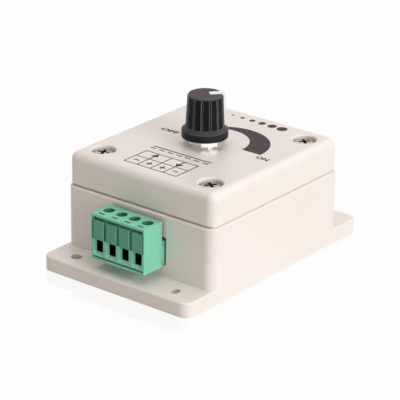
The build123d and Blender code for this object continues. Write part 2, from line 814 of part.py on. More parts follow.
# Can: drawn cup round the rotor, open beside the lugs, with tabs folded over the plate
with BuildPart() as pot_can:
    with BuildSketch(Plane.XY.offset(can_bottom)):
        Circle(can_outer_radius)
    extrude(amount=pot_can_depth)
    with BuildSketch(Plane.XY.offset(can_bottom + pot_can_wall)):
        Circle(can_inner_radius)
    extrude(amount=pot_can_depth, mode=Mode.SUBTRACT)
    with BuildSketch(Plane.XY.offset(lug_bottom - pot_can_play)):
        with Locations((0, can_outer_radius)):
            Rectangle(pot_wafer_tab_width + 2 * pot_can_play, can_outer_radius)
    extrude(amount=pot_can_depth, mode=Mode.SUBTRACT)
    with BuildSketch(Plane.XY.offset(plate_top)):
        tab_radius = can_outer_radius - pot_tab_length / 2
        with PolarLocations(tab_radius, pot_tabs, start_angle=180, angular_range=180, endpoint=True):
            Rectangle(pot_tab_length, pot_tab_width)
    extrude(amount=pot_can_wall)
pot_can.part.label = "pot_can"
export_step(pot_can.part, "parts/pot_can.step")


# Rotor: moulded disc on the shaft's tail
with BuildPart() as pot_rotor:
    with BuildSketch(Plane.XY.offset(rotor_bottom)):
        Circle(pot_rotor_diameter / 2)
    extrude(amount=pot_rotor_thickness)
    with Locations((0, 0, rotor_top)):
        Hole(radius=shaft_tail_diameter / 2 + thread_play)
pot_rotor.part.label = "pot_rotor"
export_step(pot_rotor.part, "parts/pot_rotor.step")


# Wiper: spring ring on the rotor with two fingers that reach up to the track
with BuildPart() as pot_wiper:
    with BuildSketch(Plane.XY.offset(rotor_top)):
        Circle(pot_wiper_reach)
        Circle(shaft_tail_diameter / 2 + pot_clip_fit, mode=Mode.SUBTRACT)
        with Locations((0, pot_wiper_reach)):
            Rectangle(2 * pot_wiper_reach, pot_wiper_reach, mode=Mode.SUBTRACT)
    extrude(amount=pot_wiper_thickness)
    finger_y = -pot_wiper_reach + pot_wiper_finger
    with BuildSketch(Plane.XY.offset(rotor_top)):
        with Locations((-pot_wiper_finger, finger_y), (pot_wiper_finger, finger_y)):
            Rectangle(pot_wiper_finger, pot_wiper_finger)
    extrude(amount=pot_rotor_gap - pot_clip_gap)
pot_wiper.part.label = "pot_wiper"
export_step(pot_wiper.part, "parts/pot_wiper.step")


# Washer and hex nut over the lid
with BuildPart() as pot_washer:
    with BuildSketch(Plane.XY.offset(box_height)):
        Circle(washer_diameter / 2)
        Circle(bushing_diameter / 2 + bushing_hole_play, mode=Mode.SUBTRACT)
    extrude(amount=washer_thickness)
pot_washer.part.label = "pot_washer"
export_step(pot_washer.part, "parts/pot_washer.step")

with BuildPart() as pot_nut:
    flat_radius = nut_across_flats / 2
    bevel_reach = flat_radius / cos(pi / nut_sides) + nut_thickness
    bevel_drop = (bevel_reach - flat_radius) * tan(radians(nut_chamfer_angle))
    with BuildSketch(Plane.XY.offset(washer_top)):
        RegularPolygon(flat_radius, nut_sides, major_radius=False, rotation=nut_turn + 180 / nut_sides)
        Circle(bushing_diameter / 2 + thread_play, mode=Mode.SUBTRACT)
    extrude(amount=nut_thickness)
    with BuildSketch(Plane.XZ):
        with BuildLine():
            Polyline(
                (flat_radius, nut_top),
                (bevel_reach, nut_top),
                (bevel_reach, nut_top - bevel_drop),
                close=True,
            )
        make_face()
    revolve(axis=Axis.Z, mode=Mode.SUBTRACT)
pot_nut.part.label = "pot_nut"
export_step(pot_nut.part, "parts/pot_nut.step")


# Pointer: a white bar let into the knob's top and one of its flanks
pointer_plane = Plane(
    origin=(0, 0, 0),
    x_dir=(cos(radians(pointer_angle)), sin(radians(pointer_angle)), 0),
    z_dir=(sin(radians(pointer_angle)), -cos(radians(pointer_angle)), 0),
)
foot_flat = knob_foot_diameter / 2
top_flat = knob_top_diameter / 2
with BuildPart() as knob_pointer:
    with BuildSketch(pointer_plane):
        with BuildLine():
            Polyline(
                (pointer_start, knob_top - pointer_sink),
                (top_flat - pointer_sink, knob_top - pointer_sink),
                (foot_flat - pointer_sink, knob_foot),
                (foot_flat + pointer_proud_side, knob_foot),
                (top_flat + pointer_proud_side, knob_top + pointer_proud_top),
                (pointer_start, knob_top + pointer_proud_top),
                close=True,
            )
        make_face()
    extrude(amount=pointer_width / 2, both=True)
    inner_end = knob_pointer.faces().sort_by(pointer_plane.location.x_axis)[0]
    fillet(inner_end.edges().filter_by(Axis.Z), pointer_nose)
knob_pointer.part.label = "knob_pointer"
export_step(knob_pointer.part, "parts/knob_pointer.step")


# Knob: flat ribs with narrow grooves between them, on a plain skirt
groove_angle = pointer_angle + 180 / knob_ribs + knob_rib_turn
with BuildPart() as knob_body:
    with BuildSketch(Plane.XZ):
        with BuildLine():
            Polyline(
                (0, knob_bottom),
                (knob_skirt_diameter / 2, knob_bottom),
                (knob_skirt_diameter / 2, knob_shoulder),
                (foot_flat, knob_foot),
                (0, knob_foot),
                close=True,
            )
        make_face()
    revolve(axis=Axis.Z)
    bevel_bottom = knob_top - knob_top_bevel
    for level, flat in ((knob_foot, foot_flat), (bevel_bottom, top_flat)):
        with BuildSketch(Plane.XY.offset(level)):
            RegularPolygon(flat, knob_ribs, major_radius=False, rotation=groove_angle)
            with PolarLocations(flat / cos(pi / knob_ribs), knob_ribs, start_angle=groove_angle):
                Rectangle(2 * knob_groove_depth, knob_groove, mode=Mode.SUBTRACT)
    loft(ruled=True)
    with BuildSketch(Plane.XY.offset(bevel_bottom)):
        Circle(top_flat - knob_groove_depth / 2)
    extrude(amount=knob_top_bevel)
    add(knob_pointer.part, mode=Mode.SUBTRACT)
    with BuildSketch(Plane.XY.offset(knob_bottom)):
        Circle(knob_skirt_diameter / 2 - knob_skirt_wall)
    extrude(amount=knob_skirt_recess, mode=Mode.SUBTRACT)
    with BuildSketch(Plane.XY.offset(knob_bottom)):
        Circle(bushing_diameter / 2 + knob_bush_play)
    extrude(amount=bushing_top + knob_bush_play - knob_bottom, mode=Mode.SUBTRACT)
    with BuildSketch(Plane.XY.offset(knob_bottom)):
        Circle(shaft_diameter / 2 + thread_play)
    extrude(amount=shaft_top + knob_bore_spare - knob_bottom, mode=Mode.SUBTRACT)
knob_body.part.label = "knob_body"
export_step(knob_body.part, "parts/knob_body.step")


# Power transistor: sheet tab and leads under a moulded body
mosfet_x, mosfet_y = mosfet_place
with BuildPart() as mosfet_leads:
    with BuildSketch(circuit_plane):
        with Locations((mosfet_x, mosfet_y + mosfet_tab_reach / 2)):
            Rectangle(mosfet_tab_width, mosfet_length + mosfet_tab_reach)
        for side in (-1, 1):
            lead_x = mosfet_x + side * mosfet_lead_pitch / 2
            with Locations((lead_x, mosfet_y - (mosfet_length + mosfet_lead_reach) / 2)):
                Rectangle(mosfet_lead_width, mosfet_lead_reach)
    extrude(amount=mosfet_tab_thickness)
mosfet_leads.part.label = "mosfet_leads"
export_step(mosfet_leads.part, "parts/mosfet_leads.step")

with BuildPart() as mosfet_body:
    with BuildSketch(circuit_plane.offset(mosfet_tab_thickness)):
        with Locations(mosfet_place):
            Rectangle(mosfet_width, mosfet_length)
    extrude(amount=mosfet_height - mosfet_tab_thickness)
    chamfer(mosfet_body.faces().sort_by(Axis.Z)[-1].edges(), mosfet_bevel)
mosfet_body.part.label = "mosfet_body"
export_step(mosfet_body.part, "parts/mosfet_body.step")


# Electrolytic capacitor: can with a scored vent on a square foot with two cut corners
with BuildPart() as smoothing_capacitor:
    with BuildSketch(circuit_plane):
        with Locations(capacitor_place):
            foot = Rectangle(capacitor_foot_side, capacitor_foot_side)
        chamfer(foot.vertices().sort_by(Axis.Y)[-2:], capacitor_foot_cut)
    extrude(amount=capacitor_foot_height)
    with BuildSketch(circuit_plane.offset(capacitor_foot_height)):
        with Locations(capacitor_place):
            Circle(capacitor_diameter / 2)
    extrude(amount=capacitor_height - capacitor_foot_height)
    with BuildSketch(circuit_plane.offset(capacitor_height)):
        with Locations(capacitor_place):
            Rectangle(capacitor_diameter / 2, capacitor_vent_width)
            Rectangle(capacitor_vent_width, capacitor_diameter / 2)
    extrude(amount=-capacitor_vent_depth, mode=Mode.SUBTRACT)
smoothing_capacitor.part.label = "smoothing_capacitor"
export_step(smoothing_capacitor.part, "parts/smoothing_capacitor.step")


# Diode: moulded block with a folded tab at each end
with BuildPart() as flyback_diode:
    with BuildSketch(circuit_plane):
        with Locations(diode_place):
            Rectangle(diode_width, diode_length)
    extrude(amount=diode_height)
    chamfer(flyback_diode.faces().sort_by(Axis.Z)[-1].edges(), diode_bevel)
    with BuildSketch(circuit_plane):
        with Locations(diode_place):
            Rectangle(diode_tab_width, diode_length + 2 * diode_tab_reach)
    extrude(amount=diode_tab_height)
flyback_diode.part.label = "flyback_diode"
export_step(flyback_diode.part, "parts/flyback_diode.step")


# Control chip: small-outline body on gull-wing legs
chip_x = chip_place[0]
chip_y = pin_drop_y + chip_place[1]
with BuildPart() as control_chip:
    with BuildSketch(circuit_plane.offset(chip_rise)):
        with Locations(chip_place):
            Rectangle(chip_length, chip_width)
    extrude(amount=chip_height)
    leg_top = board_top + chip_rise + chip_height / 2
    for side in (-1, 1):
        leg_root = chip_y + side * chip_width / 2
        leg_knee = leg_root + side * chip_leg_knee
        leg_toe = leg_root + side * chip_leg_reach
        for i in range(chip_legs_a_side):
            leg_x = chip_x + (i - (chip_legs_a_side - 1) / 2) * chip_leg_pitch
            with BuildSketch(Plane.YZ.offset(leg_x)):
                with BuildLine():
                    Polyline(
                        (leg_root, leg_top),
                        (leg_knee + side * chip_leg_thickness, leg_top),
                        (leg_knee + side * chip_leg_thickness, board_top + chip_leg_thickness),
                        (leg_toe, board_top + chip_leg_thickness),
                        (leg_toe, board_top),
                        (leg_knee, board_top),
                        (leg_knee, leg_top - chip_leg_thickness),
                        (leg_root, leg_top - chip_leg_thickness),
                        close=True,
                    )
                make_face()
            extrude(amount=chip_leg_width / 2, both=True)
control_chip.part.label = "control_chip"
export_step(control_chip.part, "parts/control_chip.step")


# Chip resistors and ceramic capacitors on the board's upper face
on_board = (Align.CENTER, Align.CENTER, Align.MIN)
with BuildPart() as resistors:
    with Locations(*[(x, pin_drop_y + y, board_top) for x, y in resistor_places]):
        Box(*resistor_size, align=on_board)
resistors.part.label = "resistors"
export_step(resistors.part, "parts/resistors.step")

with BuildPart() as ceramic_capacitors:
    with Locations(*[(x, pin_drop_y + y, board_top) for x, y in ceramic_places]):
        Box(*ceramic_size, align=on_board)
ceramic_capacitors.part.label = "ceramic_capacitors"
export_step(ceramic_capacitors.part, "parts/ceramic_capacitors.step")


# Wires from the lugs down to their pads, each a straight run, a slanted run and a straight run
wire_third = (lug_bottom - board_top) / 3
for number, (start_x, side) in enumerate(zip(lug_x, (-1, 0, 1)), start=1):
    pad_x = side * wire_pad_pitch
    corners = [
        Vector(start_x, lug_eye_y, lug_bottom),
        Vector(start_x, lug_eye_y, lug_bottom - wire_third),
        Vector(pad_x, wire_pad_y, board_top + wire_third),
        Vector(pad_x, wire_pad_y, board_top),
    ]
    turn = (corners[1] - corners[0]).get_angle(corners[2] - corners[1])
    bend_radius = wire_bend_share * wire_third / tan(radians(turn / 2))
    with BuildPart() as pot_wire:
        with BuildLine() as route:
            FilletPolyline(*corners, radius=bend_radius)
        with BuildSketch(Plane.XY.offset(lug_bottom)):
            with Locations((start_x, lug_eye_y)):
                Circle(wire_diameter / 2)
        sweep(path=route.line)
    pot_wire.part.label = f"pot_wire_{number}"
    export_step(pot_wire.part, f"parts/pot_wire_{number}.step")
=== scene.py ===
import bpy
import bmesh
import json
import math
from mathutils import Matrix, Vector


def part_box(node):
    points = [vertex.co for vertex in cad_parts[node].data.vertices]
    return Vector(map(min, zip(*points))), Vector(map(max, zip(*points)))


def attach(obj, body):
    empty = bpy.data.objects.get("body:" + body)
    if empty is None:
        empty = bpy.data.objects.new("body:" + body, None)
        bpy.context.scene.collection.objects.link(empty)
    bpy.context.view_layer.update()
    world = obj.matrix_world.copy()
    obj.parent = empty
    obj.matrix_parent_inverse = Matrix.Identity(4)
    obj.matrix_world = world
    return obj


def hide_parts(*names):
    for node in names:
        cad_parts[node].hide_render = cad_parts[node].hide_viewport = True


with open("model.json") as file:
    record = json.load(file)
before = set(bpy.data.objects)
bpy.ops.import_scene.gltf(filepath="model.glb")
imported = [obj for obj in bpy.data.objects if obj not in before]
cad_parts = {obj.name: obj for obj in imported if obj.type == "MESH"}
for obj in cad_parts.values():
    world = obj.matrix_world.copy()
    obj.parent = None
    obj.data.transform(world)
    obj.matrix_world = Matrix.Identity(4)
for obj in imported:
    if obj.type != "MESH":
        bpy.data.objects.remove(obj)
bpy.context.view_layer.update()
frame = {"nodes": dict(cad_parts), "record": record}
nodes = frame["nodes"]
scene = bpy.context.scene
mm = 0.001
pureWhite = (1, 1, 1, 1)
# a Mix node's colour sockets: its two inputs and its output
mixFirst, mixSecond, mixResult = 6, 7, 2
# what all finishes share: noise is the range that most of a noise texture's values lie in, and rimTurn is the
# cosine between the true and the rounded normal where the painted edge highlight starts and where it is full
shared = dict(noise=(0.3, 0.7), blotchDetail=4.0, patchDetail=3.0, grainDetail=2.0, zoneDetail=3.0,
              rimSamples=8, rimTurn=(0.97, 0.80), edgeSamples=6, coatRough=0.12)
print("frame loaded:", len(nodes), "nodes")


def tint(red, green, blue):
    # an 8-bit screen colour as the linear colour that shaders use
    def straight(value):
        value = value / 255
        return value / 12.92 if value <= 0.04045 else ((value + 0.055) / 1.055) ** 2.4
    return (straight(red), straight(green), straight(blue), 1.0)


class Finish:
    # a material's node tree, with one short call for each kind of node
    def __init__(self, name):
        self.material = bpy.data.materials.new(name)
        self.material.use_nodes = True
        self.tree = self.material.node_tree
        self.shader = self.tree.nodes["Principled BSDF"]
        self.place = self.add("ShaderNodeTexCoord").outputs["Object"]

    def add(self, kind, **settings):
        node = self.tree.nodes.new(kind)
        for key, value in settings.items():
            setattr(node, key, value)
        return node

    def link(self, start, end):
        self.tree.links.new(start, end)

    def maths(self, operation, first, second):
        node = self.add("ShaderNodeMath", operation=operation)
        for socket, value in zip(node.inputs, (first, second)):
            if isinstance(value, (int, float)):
                socket.default_value = value
            else:
                self.link(value, socket)
        return node.outputs[0]

    def noise(self, scale, detail, stretch):
        mapping = self.add("ShaderNodeMapping")
        mapping.inputs["Scale"].default_value = stretch
        self.link(self.place, mapping.inputs["Vector"])
        node = self.add("ShaderNodeTexNoise")
        node.inputs["Scale"].default_value = scale
        node.inputs["Detail"].default_value = detail
        self.link(mapping.outputs["Vector"], node.inputs["Vector"])
        return node.outputs["Fac"]

    def ramp(self, factor, first, second):
        node = self.add("ShaderNodeValToRGB")
        for stop, position, colour in zip(node.color_ramp.elements, shared["noise"], (first, second)):
            stop.position = position
            stop.color = colour
        self.link(factor, node.inputs["Fac"])
        return node.outputs["Color"]

    def span(self, factor, low, high, source=shared["noise"]):
        node = self.add("ShaderNodeMapRange")
        limits = {"From Min": source[0], "From Max": source[1], "To Min": low, "To Max": high}
        for socket, value in limits.items():
            node.inputs[socket].default_value = value
        self.link(factor, node.inputs["Value"])
        return node.outputs["Result"]

    def mix(self, factor, first, second):
        node = self.add("ShaderNodeMix", data_type="RGBA")
        self.link(factor, node.inputs["Factor"])
        for index, value in ((mixFirst, first), (mixSecond, second)):
            if isinstance(value, tuple):
                node.inputs[index].default_value = value
            else:
                self.link(value, node.inputs[index])
        return node.outputs[mixResult]

    def within(self, limits):
        # 1 inside a box given as {axis: (low, high)} in metres, 0 outside it
        split = self.add("ShaderNodeSeparateXYZ")
        self.link(self.place, split.inputs["Vector"])
        inside = None
        for axis, (low, high) in limits.items():
            above = self.maths("GREATER_THAN", split.outputs[axis], low)
            below = self.maths("LESS_THAN", split.outputs[axis], high)
            here = self.maths("MULTIPLY", above, below)
            inside = here if inside is None else self.maths("MULTIPLY", inside, here)
        return inside

    def rim(self, radius):
        # 1 along sharp edges, fading to 0 on the flats
        bevel = self.add("ShaderNodeBevel", samples=shared["rimSamples"])
        bevel.inputs["Radius"].default_value = radius
        turned = self.add("ShaderNodeVectorMath", operation="DOT_PRODUCT")
        self.link(bevel.outputs["Normal"], turned.inputs[0])
        self.link(self.add("ShaderNodeNewGeometry").outputs["Normal"], turned.inputs[1])
        return self.span(turned.outputs["Value"], 0.0, 1.0, shared["rimTurn"])

    def relief(self, height, strength, depth, edge):
        bump = self.add("ShaderNodeBump")
        bump.inputs["Strength"].default_value = strength
        bump.inputs["Distance"].default_value = depth
        self.link(height, bump.inputs["Height"])
        if edge:
            bevel = self.add("ShaderNodeBevel", samples=shared["edgeSamples"])
            bevel.inputs["Radius"].default_value = edge
            self.link(bevel.outputs["Normal"], bump.inputs["Normal"])
        self.link(bump.outputs["Normal"], self.shader.inputs["Normal"])


def makeFinish(name, look, zones=()):
    # zones are (limits, look) pairs: another colour, gloss or metal inside part of the same moulding
    made = Finish(name)
    shader = made.shader
    even = (1, 1, 1)
    stretch = look.get("stretch", even)
    blotches = made.noise(look["blotch"], shared["blotchDetail"], stretch)
    colour = made.ramp(blotches, tint(*look["shade"]), tint(*look["colour"]))
    rough = made.span(made.noise(look["patch"], shared["patchDetail"], stretch), *look["rough"])
    grain = made.noise(look["grain"], shared["grainDetail"], stretch)
    metal = None
    for limits, other in zones:
        here = made.within(limits)
        streaks = made.noise(other["blotch"], shared["zoneDetail"], other.get("stretch", even))
        colour = made.mix(here, colour, made.ramp(streaks, tint(*other["shade"]), tint(*other["colour"])))
        step = made.maths("SUBTRACT", made.span(streaks, *other["rough"]), rough)
        rough = made.maths("ADD", rough, made.maths("MULTIPLY", here, step))
        ridges = made.maths("MULTIPLY", made.maths("MULTIPLY", here, streaks), other.get("ridge", 0.0))
        grain = made.maths("ADD", grain, ridges)
        if other.get("metal"):
            metal = here if metal is None else made.maths("MAXIMUM", metal, here)
    # painted highlight: a lighter colour along sharp edges, where rounded edges would catch the light
    if look.get("edgeHighlight"):
        highlitEdge = made.maths("MULTIPLY", made.rim(look["edgeHighlightWidth"] * mm), look.get("edgeHighlightShare", 1.0))
        colour = made.mix(highlitEdge, colour, tint(*look["edgeHighlight"]))
    made.link(colour, shader.inputs["Base Color"])
    made.link(rough, shader.inputs["Roughness"])
    made.relief(grain, look["bump"], look["depth"] * mm, look.get("edge", 0) * mm)
    if metal is None:
        shader.inputs["Metallic"].default_value = look.get("metal", 0.0)
    else:
        made.link(metal, shader.inputs["Metallic"])
    shader.inputs["Specular IOR Level"].default_value = look.get("specular", 0.5)
    shader.inputs["Coat Weight"].default_value = look.get("coat", 0.0)
    shader.inputs["Coat Roughness"].default_value = shared["coatRough"]
    return made.material


# colour and shade are screen colours, rough is a range, and edge, depth and the width of the lighter edges
# are in mm; the lighter colour along sharp edges is a painted highlight
slotLooks = {
    "ivory_plastic": dict(
        colour=(240, 231, 226), shade=(236, 227, 221), blotch=45, patch=120, rough=(0.32, 0.42),
        grain=2600, bump=0.10, depth=0.03, edge=0.14, specular=0.40,
        edgeHighlight=(247, 240, 234), edgeHighlightWidth=0.35, edgeHighlightShare=0.6),
    "knob_plastic": dict(
        colour=(23, 23, 26), shade=(18, 18, 20), blotch=220, patch=500, rough=(0.36, 0.48),
        grain=3800, bump=0.12, depth=0.02, edge=0.10, specular=0.08,
        edgeHighlight=(205, 205, 216), edgeHighlightWidth=0.17, edgeHighlightShare=0.85),
    "pointer_plastic": dict(
        colour=(252, 252, 252), shade=(246, 246, 246), blotch=300, patch=700, rough=(0.32, 0.42),
        grain=3500, bump=0.08, depth=0.02, edge=0.12),
    "terminal_plastic": dict(
        colour=(131, 207, 178), shade=(123, 200, 169), blotch=160, patch=420, rough=(0.40, 0.52),
        grain=4200, bump=0.14, depth=0.02, edge=0.08, specular=0.4,
        edgeHighlight=(158, 226, 202), edgeHighlightWidth=0.22, edgeHighlightShare=0.7),
    "plated_steel": dict(
        colour=(240, 238, 234), shade=(226, 223, 217), blotch=320, patch=900, rough=(0.12, 0.24),
        grain=1600, bump=0.02, depth=0.01, edge=0.06, metal=1.0, stretch=(1, 1, 4)),
    "cast_zinc": dict(
        colour=(186, 186, 188), shade=(168, 168, 171), blotch=400, patch=800, rough=(0.30, 0.44),
        grain=3000, bump=0.12, depth=0.02, edge=0.08, metal=1.0),
    "tinned_brass": dict(
        colour=(214, 206, 184), shade=(196, 184, 152), blotch=500, patch=900, rough=(0.24, 0.36),
        grain=2800, bump=0.08, depth=0.01, edge=0.05, metal=1.0),
    "board_laminate": dict(
        colour=(28, 112, 66), shade=(22, 92, 54), blotch=260, patch=600, rough=(0.30, 0.42),
        grain=1800, bump=0.18, depth=0.03, edge=0.05, coat=0.3),
    "wafer_laminate": dict(
        colour=(138, 92, 52), shade=(120, 78, 43), blotch=500, patch=700, rough=(0.45, 0.6),
        grain=2600, bump=0.2, depth=0.02),
    "black_moulding": dict(
        colour=(42, 42, 44), shade=(34, 34, 36), blotch=600, patch=900, rough=(0.5, 0.65),
        grain=5000, bump=0.25, depth=0.02, edge=0.06, specular=0.3),
    "tan_ceramic": dict(
        colour=(186, 152, 112), shade=(170, 134, 94), blotch=900, patch=900, rough=(0.4, 0.5),
        grain=5000, bump=0.12, depth=0.02, edge=0.08),
    "aluminium_can": dict(
        colour=(206, 207, 209), shade=(190, 191, 194), blotch=300, patch=800, rough=(0.26, 0.38),
        grain=2400, bump=0.06, depth=0.02, edge=0.15, metal=1.0, stretch=(1, 1, 6)),
    "wire_insulation": dict(
        colour=(178, 38, 32), shade=(160, 30, 26), blotch=700, patch=900, rough=(0.38, 0.5),
        grain=3000, bump=0.1, depth=0.02),
}
finishes = {slot: makeFinish(slot + "Finish", look) for slot, look in slotLooks.items()}


def dress(node, material):
    slots = nodes[node].data.materials
    slots.clear()
    slots.append(material)


for subpart in frame["record"]["subparts"]:
    dress(subpart["node"], finishes[subpart["material_slot"]])

# lid: painted shade, a darker colour in the split line at the front and back, where the groove lies in shadow
seamShade = dict(look=dict(colour=(196, 178, 162), shade=(186, 168, 152), blotch=300, rough=(0.5, 0.6)),
            height=0.75, corner=1.2)
lidLow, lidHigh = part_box("lid")
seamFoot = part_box("base_tray")[1].z
seamShadeZ = (seamFoot, seamFoot + seamShade["height"] * mm)
frontSeamShade = {"Y": (lidLow.y - mm, lidLow.y + seamShade["corner"] * mm), "Z": seamShadeZ}
backSeamShade = {"Y": (lidHigh.y - seamShade["corner"] * mm, lidHigh.y + mm), "Z": seamShadeZ}
dress("lid", makeFinish("lidSeamShadeFinish", slotLooks["ivory_plastic"], [
    (frontSeamShade, seamShade["look"]), (backSeamShade, seamShade["look"])]))

# plug: ribbed marking panels above the wire mouths in a darker green that is painted shade, painted shade as
# deeper green in its grooves, screw holes and the groove under the brow, and a painted highlight on the
# sloped sills of the mouths
# panels: real ribs, in a darker green that is painted shade
panelRibsAndShade = dict(look=dict(colour=(92, 165, 137), shade=(82, 152, 125), blotch=2600, stretch=(1, 1, 0.05),
                        rough=(0.5, 0.62), ridge=0.5), foot=6.85, top=13.2, skin=0.12)
# painted shade inside the plug's grooves, screw holes and lip groove
recessShade = dict(look=dict(colour=(70, 146, 114), shade=(60, 132, 102), blotch=300, rough=(0.5, 0.6)),
                side=0.3, front=0.25, under=0.2, lip=(0.78, 1.32))
# painted shade in the groove under the brow
browShade = dict(look=dict(colour=(74, 154, 121), shade=(66, 142, 110), blotch=300, rough=(0.5, 0.6)),
            low=1.82, high=0.68, skin=0.02, depth=1.2)
# painted highlight on the sloped sills of the wire mouths
sillHighlight = dict(look=dict(colour=(164, 230, 206), shade=(154, 220, 195), blotch=300, rough=(0.45, 0.55)),
             low=1.62, high=2.58, skin=0.03, depth=1.05)
plugLow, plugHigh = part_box("plug_housing")
panelRibsAndShadeLimits = {"Y": (plugLow.y - mm, plugLow.y + panelRibsAndShade["skin"] * mm),
               "Z": (plugLow.z + panelRibsAndShade["foot"] * mm, plugLow.z + panelRibsAndShade["top"] * mm)}
insideShadeLimits = {"X": (plugLow.x + recessShade["side"] * mm, plugHigh.x - recessShade["side"] * mm),
                "Y": (plugLow.y + recessShade["front"] * mm, plugHigh.y - recessShade["side"] * mm),
                "Z": (plugLow.z + panelRibsAndShade["foot"] * mm, plugHigh.z - recessShade["under"] * mm)}
lipShadeLimits = dict(insideShadeLimits, Z=tuple(plugLow.z + level * mm for level in recessShade["lip"]))
sillHighlightLimits = {"X": insideShadeLimits["X"],
              "Y": (plugLow.y + sillHighlight["skin"] * mm, plugLow.y + sillHighlight["depth"] * mm),
              "Z": (plugLow.z + sillHighlight["low"] * mm, plugLow.z + sillHighlight["high"] * mm)}
browShadeLimits = {"X": insideShadeLimits["X"],
              "Y": (plugLow.y + browShade["skin"] * mm, plugLow.y + browShade["depth"] * mm),
              "Z": (plugHigh.z - browShade["low"] * mm, plugHigh.z - browShade["high"] * mm)}
dress("plug_housing", makeFinish("plugPaintedLightFinish", slotLooks["terminal_plastic"], [
    (panelRibsAndShadeLimits, panelRibsAndShade["look"]), (insideShadeLimits, recessShade["look"]), (lipShadeLimits, recessShade["look"]),
    (browShadeLimits, browShade["look"]), (sillHighlightLimits, sillHighlight["look"])]))

# knob: the flat top is a little browner and duller than the flanks, the shoulder a lighter grey that is a
# painted reflection, and the skirt greyer
crown = dict(look=dict(colour=(80, 70, 73), shade=(71, 62, 65), blotch=420, rough=(0.40, 0.50)), depth=0.1)
# painted reflection: the upward-facing shoulder in a lighter grey
shoulderReflection = dict(look=dict(colour=(74, 74, 81), shade=(62, 62, 68), blotch=420, rough=(0.30, 0.40)),
                low=2.42, high=3.48)
skirt = dict(look=dict(colour=(44, 43, 46), shade=(36, 35, 38), blotch=420, rough=(0.36, 0.46)))
knobLow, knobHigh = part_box("knob_body")
crownLimits = {"Z": (knobHigh.z - crown["depth"] * mm, knobHigh.z + mm)}
shoulderReflectionLimits = {"Z": (knobLow.z + shoulderReflection["low"] * mm, knobLow.z + shoulderReflection["high"] * mm)}
skirtLimits = {"Z": (knobLow.z - mm, knobLow.z + shoulderReflection["low"] * mm)}
dress("knob_body", makeFinish("knobPaintedLightFinish", slotLooks["knob_plastic"], [
    (crownLimits, crown["look"]), (shoulderReflectionLimits, shoulderReflection["look"]), (skirtLimits, skirt["look"])]))

# wire clamps: steel coloured dark as painted shade, so that the wire mouths stay dark
clampShadeLook = dict(slotLooks["plated_steel"], colour=(70, 68, 64), shade=(52, 50, 47), rough=(0.45, 0.6))
clampWays = 4
for way in range(1, clampWays + 1):
    dress(f"clamp_cage_{way}", makeFinish(f"clampShadeFinish{way}", clampShadeLook))

# three leads in three colours
leads = {"pot_wire_1": ((178, 38, 32), (160, 30, 26)), "pot_wire_2": ((226, 196, 60), (208, 176, 44)),
         "pot_wire_3": ((40, 40, 42), (30, 30, 32))}
for node, (colour, shade) in leads.items():
    dress(node, makeFinish(node + "Finish", dict(slotLooks["wire_insulation"], colour=colour, shade=shade)))

# control chip with tinned legs along two sides, and a capacitor's can on a black foot
tinLook = dict(slotLooks["tinned_brass"], colour=(212, 210, 204), shade=(192, 190, 184))
chipLow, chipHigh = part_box("control_chip")
chipLegs = 1.05 * mm
frontLegs = {"Y": (chipLow.y - mm, chipLow.y + chipLegs)}
backLegs = {"Y": (chipHigh.y - chipLegs, chipHigh.y + mm)}
dress("control_chip", makeFinish("chipFinish", slotLooks["black_moulding"], [
    (frontLegs, tinLook), (backLegs, tinLook)]))
canLow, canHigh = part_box("smoothing_capacitor")
canFoot = 1.0 * mm
canLimits = {"Z": (canLow.z + canFoot, canHigh.z + mm)}
dress("smoothing_capacitor", makeFinish("canFinish", slotLooks["black_moulding"], [
    (canLimits, slotLooks["aluminium_can"])]))
print("finishes made:", len(bpy.data.materials))

# lid screws: domed cross heads and ridged shanks, in the place of the plain CAD screws
# sizes are in mm and angles in degrees, and crown and dome hold radii with their heights from the top
screws = dict(head=3.45, rise=0.45, crown=(2.75, -0.12), dome=((3.2, -0.42), (3.45, -0.95)), seat=2.0,
              arm=1.95, slot=0.5, recess=1.2, taper=0.5, shank=1.4, root=1.05, ridges=10, tip=0.15,
              segments=24, crease=40, turns=(20, -35, 8, 50))
screwLook = dict(slotLooks["plated_steel"], colour=(196, 190, 179), shade=(160, 153, 142),
                 rough=(0.24, 0.4))
# painted shade: the faces of the cross recess in a dark colour, where the hole lies in shadow
recessShadeLook = dict(screwLook, colour=(54, 51, 47), shade=(36, 34, 31), rough=(0.45, 0.6))
screwLow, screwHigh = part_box("lid_screws")
bm = bmesh.new()
topZ = screwHigh.z + screws["rise"] * mm
slotHalf = screws["slot"] * mm
armEnd = screws["arm"] * mm
outline = []
for quarter in range(4):
    turned = Matrix.Rotation(quarter * math.pi / 2, 3, "Z")
    for cornerX, cornerY in ((slotHalf, armEnd), (-slotHalf, armEnd), (-slotHalf, slotHalf)):
        outline.append(bm.verts.new(turned @ Vector((cornerX, cornerY, topZ))))
cross = bm.faces.new(outline)
radius = screws["crown"][0] * mm
level = screwHigh.z + (screws["rise"] + screws["crown"][1]) * mm
ring = bmesh.ops.create_circle(bm, segments=screws["segments"], radius=radius)["verts"]
bmesh.ops.translate(bm, verts=ring, vec=(0, 0, level))
loop = list(dict.fromkeys(edge for vert in ring for edge in vert.link_edges))
bmesh.ops.bridge_loops(bm, edges=list(cross.edges) + loop)
steps = [(wide, screwHigh.z + (screws["rise"] + drop) * mm) for wide, drop in screws["dome"]]
seatZ = screwHigh.z - screws["seat"] * mm
steps += [(screws["head"], seatZ), (screws["shank"], seatZ)]
pitch = (seatZ - screwLow.z) / (screws["ridges"] + 1)
for number in range(screws["ridges"]):
    ridgeZ = seatZ - (number + 0.5) * pitch
    steps += [(screws["root"], ridgeZ), (screws["shank"], ridgeZ - pitch / 2)]
steps += [(screws["tip"], screwLow.z)]
